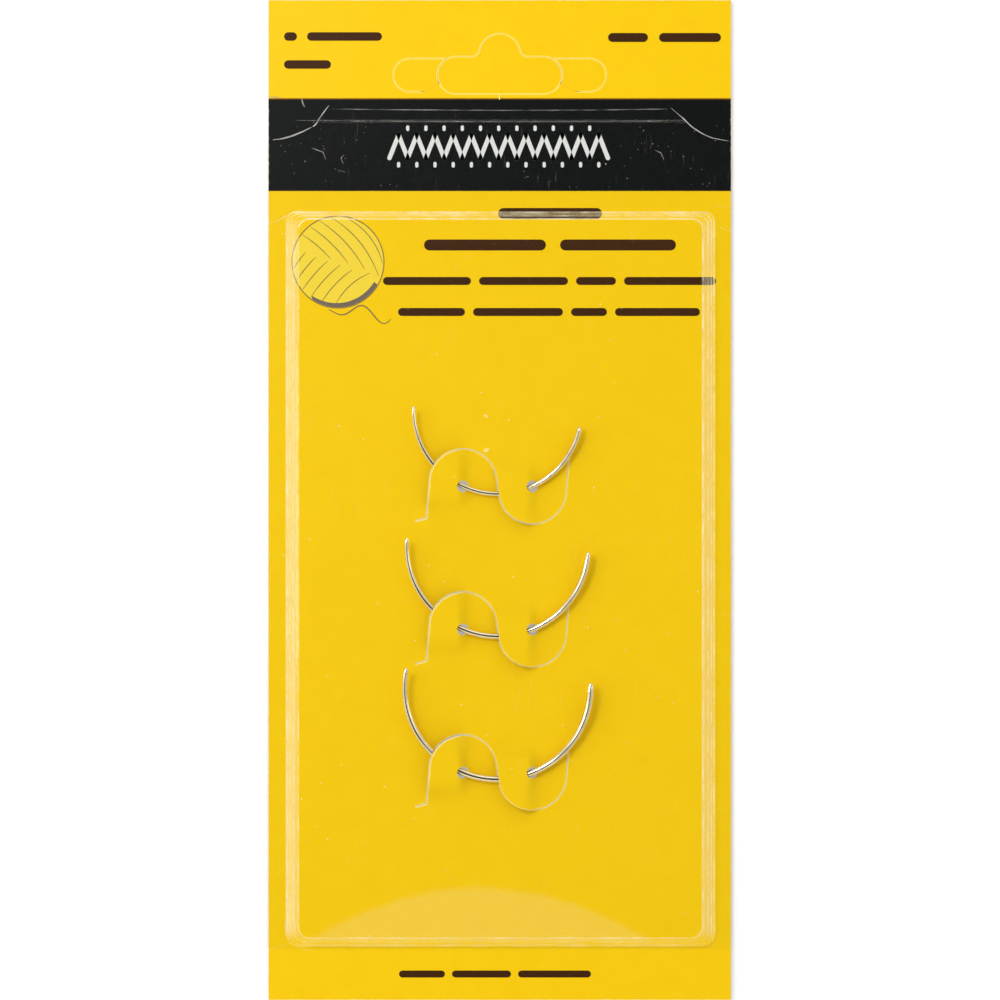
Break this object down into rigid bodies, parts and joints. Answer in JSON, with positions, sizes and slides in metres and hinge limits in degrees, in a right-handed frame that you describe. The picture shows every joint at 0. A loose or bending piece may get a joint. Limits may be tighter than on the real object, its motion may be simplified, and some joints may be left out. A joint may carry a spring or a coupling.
{
  "type": "yarn needle",
  "caption": "Curved blunt yarn and tapestry needles woven through the cut tongues of a hang card, under a clear cover that slides along the card.",
  "frame": {"origin": "under the middle of the pack, on the surface that the cover's folded rails rest on", "axes": "+Z out of the card's printed face, +Y along the card towards the hang hole, +X to the right as the card is read"},
  "size_m": [0.0688, 0.147, 0.0051],
  "materials": {
    "backing_card": "coated printed face",
    "hang_flap": "coated printed face",
    "hang_wing_left": "coated printed face",
    "hang_wing_right": "coated printed face",
    "blister_cover": "clear gloss film",
    "needle_size_24": "polished nickel plate",
    "needle_size_22": "polished nickel plate",
    "needle_size_20": "polished nickel plate"
  },
  "bodies": {
    "backing_card": {"backing_card": "backing_card"},
    "hang_flap": {"hang_flap": "hang_flap"},
    "hang_wing_left": {"hang_wing_left": "hang_wing_left"},
    "hang_wing_right": {"hang_wing_right": "hang_wing_right"},
    "blister_cover": {"blister_cover": "blister_cover"},
    "needle_size_24": {"needle_size_24": "needle_size_24"},
    "needle_size_22": {"needle_size_22": "needle_size_22"},
    "needle_size_20": {"needle_size_20": "needle_size_20"}
  },
  "joints": [
    {"name": "cover_slide", "type": "slide", "parent": "backing_card", "child": "blister_cover", "axis": [0, 1, 0], "range_m": [-0.026, 0.0185]},
    {"name": "needle_size_24_slide_round", "type": "hinge", "parent": "backing_card", "child": "needle_size_24", "pos_m": [-0.0003, 0.01314, 0.00241], "axis": [0, -0.0958, 0.9954], "range_deg": [0, 125]},
    {"name": "needle_size_22_slide_round", "type": "hinge", "parent": "backing_card", "child": "needle_size_22", "pos_m": [-0.0003, -0.00677, 0.00257], "axis": [0, -0.0958, 0.9954], "range_deg": [0, 125]},
    {"name": "needle_size_20_slide_round", "type": "hinge", "parent": "backing_card", "child": "needle_size_20", "pos_m": [-0.0003, -0.02745, 0.00266], "axis": [0, -0.0958, 0.9954], "range_deg": [0, 130]},
    {"name": "hang_flap_fold", "type": "hinge", "parent": "backing_card", "child": "hang_flap", "pos_m": [0, 0.05978, 0.0008], "axis": [-1, 0, 0], "range_deg": [-110, 0]},
    {"name": "wing_left_fold", "type": "hinge", "parent": "backing_card", "child": "hang_wing_left", "pos_m": [-0.0112, 0.06005, 0.0008], "axis": [-0.8935, -0.4491, 0], "range_deg": [-110, 0]},
    {"name": "wing_right_fold", "type": "hinge", "parent": "backing_card", "child": "hang_wing_right", "pos_m": [0.0112, 0.06005, 0.0008], "axis": [-0.8935, 0.4491, 0], "range_deg": [-110, 0]}
  ]
}
